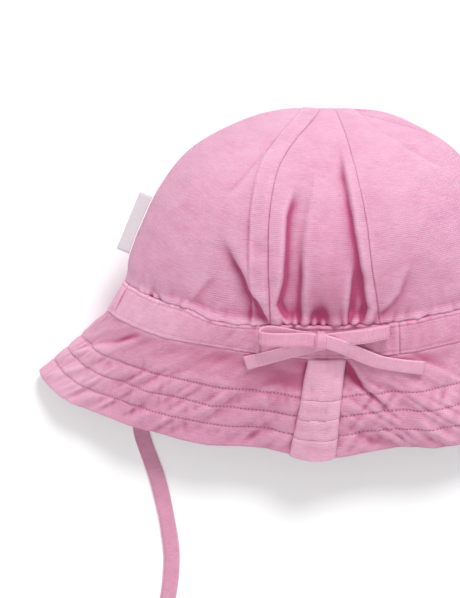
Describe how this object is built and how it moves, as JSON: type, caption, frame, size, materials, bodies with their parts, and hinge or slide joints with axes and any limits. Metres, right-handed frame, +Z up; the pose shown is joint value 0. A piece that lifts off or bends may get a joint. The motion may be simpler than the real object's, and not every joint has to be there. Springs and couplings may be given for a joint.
{
  "type": "baby sun hat",
  "caption": "Soft cotton sun hat for a baby with a panelled crown, gathered band with a bow at the back, flared stitched brim and chin ties, lying on its front.",
  "frame": {"origin": "on the floor, at the middle of the flattened front of the crown, which the hat lies on", "axes": "+Z up, out of the back of the hat; +Y from the brim towards the tip of the crown; +X across the hat, to the right as seen from above"},
  "size_m": [0.275, 0.2768, 0.0818],
  "materials": {
    "crown_cloth": "matt pink linen-look cotton with a fine crosswise rib",
    "band_cloth": "matt pink linen-look cotton, doubled and stitched",
    "brim_cloth": "matt pink linen-look cotton in two layers with rows of stitching",
    "tape": "flat tape folded from the same pink cotton",
    "tag_ribbon": "smooth off-white ribbon, left bare"
  },
  "bodies": {
    "root": {"crown_panel_back": "crown_cloth", "crown_panel_back_left": "crown_cloth", "crown_panel_back_right": "crown_cloth", "crown_panel_front_left": "crown_cloth", "crown_panel_front_right": "crown_cloth", "crown_panel_front": "crown_cloth", "head_band": "band_cloth", "brim": "brim_cloth", "brim_back_strip": "brim_cloth", "drawstring_bow": "tape", "chin_tie_left": "tape", "chin_tie_right": "tape", "side_tag": "tag_ribbon"}
  },
  "joints": []
}
